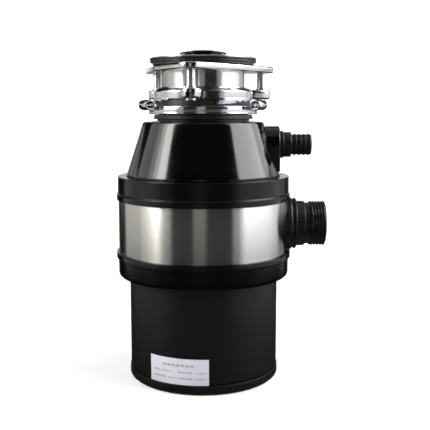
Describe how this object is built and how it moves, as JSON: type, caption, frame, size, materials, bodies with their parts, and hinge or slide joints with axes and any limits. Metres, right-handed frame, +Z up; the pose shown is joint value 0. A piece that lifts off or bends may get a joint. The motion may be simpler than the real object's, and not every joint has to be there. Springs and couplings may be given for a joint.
{
  "type": "kitchen garbage disposal",
  "caption": "Under-sink food waste disposer: stepped round housing with steel band, side drain and hose spigots, and a chromed clamp-on sink mount.",
  "frame": {"origin": "centre of the base's underside, on the axis of rotation", "axes": "+Z up along the axis of rotation towards the sink; +X along both spigots; the front is towards -Y"},
  "size_m": [0.2249, 0.1878, 0.3483],
  "materials": {
    "black_gloss": "glossy black enamel or ABS",
    "black_satin": "satin black powder coat",
    "black_matte": "matt black glass-filled nylon",
    "rubber": "matt black rubber",
    "brushed_steel": "brushed stainless steel",
    "chrome": "polished chrome plate",
    "cast_alloy": "as-cast aluminium alloy",
    "bright_steel": "bright machined steel",
    "laminated_steel": "stacked silicon-steel laminations",
    "copper": "enamelled copper wire",
    "red": "red moulded plastic",
    "label": "blank silver foil label"
  },
  "bodies": {
    "housing": {"base_cap": "black_satin", "wrench_port_plug": "rubber", "terminal_cover": "brushed_steel", "terminal_cover_screw": "bright_steel", "terminal_block": "black_matte", "cord_gland": "rubber", "reset_spring": "bright_steel", "overload_protector": "black_matte", "start_capacitor": "cast_alloy", "motor_can": "black_satin", "stator_core": "laminated_steel", "winding_bottom": "copper", "winding_top": "copper", "lower_end_frame": "cast_alloy", "lower_bearing": "bright_steel", "upper_end_frame": "cast_alloy", "upper_bearing": "bright_steel", "shaft_seal": "rubber", "shredder_ring": "bright_steel", "drain_chamber": "black_matte", "chamber_seal": "rubber", "outlet_gasket": "rubber", "drain_outlet": "black_gloss", "hopper_shell": "black_gloss", "hopper_seal": "rubber", "inlet_seal": "rubber", "dishwasher_inlet": "black_gloss", "trim_band": "brushed_steel", "lower_collar": "black_gloss", "upper_collar": "black_gloss", "rating_label": "label", "mounting_gasket": "rubber", "through_bolt_1": "bright_steel", "hopper_screw_1": "bright_steel", "through_bolt_2": "bright_steel", "hopper_screw_2": "bright_steel", "through_bolt_3": "bright_steel", "hopper_screw_3": "bright_steel", "through_bolt_4": "bright_steel", "hopper_screw_4": "bright_steel"},
    "rotor": {"rotor_shaft": "bright_steel", "rotor_core": "laminated_steel", "turntable": "bright_steel", "turntable_nut": "bright_steel", "impeller_pin_1": "bright_steel", "impeller_pin_2": "bright_steel"},
    "swing_hammer_1": {"impeller_1": "bright_steel"},
    "swing_hammer_2": {"impeller_2": "bright_steel"},
    "lock_ring": {"locking_ring": "chrome"},
    "sink_mount": {"sink_flange": "chrome", "sink_gasket": "rubber", "snap_ring": "bright_steel", "mounting_flange": "chrome"},
    "clamp": {"clamp_plate": "chrome"},
    "bolt_1": {"support_bolt_1": "chrome"},
    "bolt_2": {"support_bolt_2": "chrome"},
    "bolt_3": {"support_bolt_3": "chrome"},
    "sink_stopper": {"stopper": "black_gloss", "stopper_seal": "rubber"},
    "reset": {"reset_button": "red"}
  },
  "joints": [
    {"name": "rotor_spin", "type": "hinge", "parent": "housing", "child": "rotor", "pos_m": [0, 0, 0.1], "axis": [0, 0, 1], "continuous": true},
    {"name": "hammer_1_swing", "type": "hinge", "parent": "rotor", "child": "swing_hammer_1", "pos_m": [0, -0.045, 0.194], "axis": [0, 0, 1], "continuous": true},
    {"name": "hammer_2_swing", "type": "hinge", "parent": "rotor", "child": "swing_hammer_2", "pos_m": [0, 0.045, 0.194], "axis": [0, 0, 1], "continuous": true},
    {"name": "locking_ring_turn", "type": "hinge", "parent": "housing", "child": "lock_ring", "pos_m": [0, 0, 0.286], "axis": [0, 0, 1], "range_deg": [-35, 0]},
    {"name": "sink_mount_lift", "type": "slide", "parent": "housing", "child": "sink_mount", "axis": [0, 0, 1], "range_m": [0, 0.003]},
    {"name": "clamp_plate_slide", "type": "slide", "parent": "sink_mount", "child": "clamp", "axis": [0, 0, 1], "range_m": [-0.005, 0]},
    {"name": "support_bolt_1_turn", "type": "hinge", "parent": "clamp", "child": "bolt_1", "pos_m": [-0.01106, -0.06608, 0.31], "axis": [0, 0, 1], "range_deg": [-1440, 0]},
    {"name": "support_bolt_2_turn", "type": "hinge", "parent": "clamp", "child": "bolt_2", "pos_m": [0.06276, 0.02346, 0.31], "axis": [0, 0, 1], "range_deg": [-1440, 0]},
    {"name": "support_bolt_3_turn", "type": "hinge", "parent": "clamp", "child": "bolt_3", "pos_m": [-0.0517, 0.04262, 0.31], "axis": [0, 0, 1], "range_deg": [-1440, 0]},
    {"name": "stopper_lift", "type": "slide", "parent": "sink_mount", "child": "sink_stopper", "axis": [0, 0, 1], "range_m": [0, 0.04]},
    {"name": "reset_button_press", "type": "slide", "parent": "housing", "child": "reset", "axis": [0, 0, 1], "range_m": [0, 0.003], "stiffness_N_per_m": 400, "springref_m": -0.002, "deforming": ["reset_spring"]}
  ],
  "couplings": [
    {"joint": "locking_ring_turn", "follows": "sink_mount_lift", "rad_per_m": -203.6},
    {"joint": "support_bolt_1_turn", "follows": "clamp_plate_slide", "rad_per_m": 5026},
    {"joint": "support_bolt_2_turn", "follows": "clamp_plate_slide", "rad_per_m": 5026},
    {"joint": "support_bolt_3_turn", "follows": "clamp_plate_slide", "rad_per_m": 5026}
  ]
}
